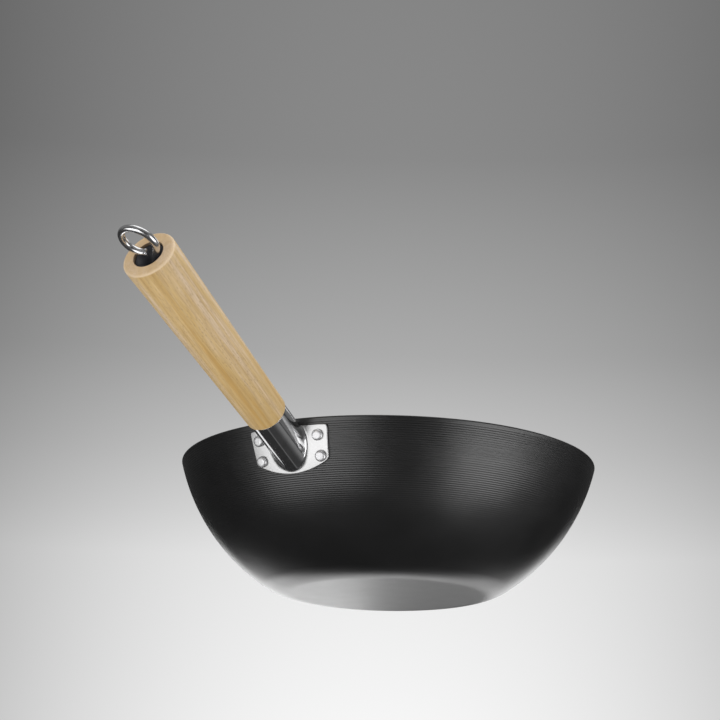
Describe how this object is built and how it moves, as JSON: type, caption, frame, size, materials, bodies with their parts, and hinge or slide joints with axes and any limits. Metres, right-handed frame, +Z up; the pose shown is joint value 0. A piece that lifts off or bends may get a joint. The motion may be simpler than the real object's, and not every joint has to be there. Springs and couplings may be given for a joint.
{
  "type": "wok",
  "caption": "Flat-based black steel wok with a riveted bright socket bracket, a turned wooden grip and a screw-in hanging eye.",
  "frame": {"origin": "centre of the underside of the bowl's flat base", "axes": "+Z up out of the bowl's mouth, +X from the bowl's middle towards the handle"},
  "size_m": [0.4929, 0.3, 0.1668],
  "materials": {
    "black_steel": "satin black on steel with fine turned lines round the wall",
    "bright_steel": "polished tube and satin plate, pressed from one sheet",
    "rivet_steel": "bright, pressed",
    "plain_steel": "plain, hidden",
    "pale_wood": "bare pale wood, turned and sanded, grain along the grip",
    "black_plastic": "moulded, matt black",
    "eye_steel": "mirror-bright plated rod"
  },
  "bodies": {
    "pan": {"wok_body": "black_steel", "handle_bracket": "bright_steel", "rivet_upper_left": "rivet_steel", "rivet_upper_right": "rivet_steel", "rivet_lower_left": "rivet_steel", "rivet_lower_right": "rivet_steel", "anchor_plate": "plain_steel", "weld_nut": "plain_steel", "wooden_grip": "pale_wood"},
    "bush": {"end_bush": "black_plastic"},
    "eye": {"eye_rod": "eye_steel"}
  },
  "joints": [
    {"name": "eye_draw", "type": "slide", "parent": "pan", "child": "bush", "axis": [0.9195, 0, 0.3931], "range_m": [0, 0.0072]},
    {"name": "eye_turn", "type": "hinge", "parent": "bush", "child": "eye", "pos_m": [0.1765, 0, 0.09005], "axis": [0.9195, 0, 0.3931], "range_deg": [0, 3240]}
  ],
  "couplings": [
    {"joint": "eye_turn", "follows": "eye_draw", "rad_per_m": 7853.9}
  ]
}
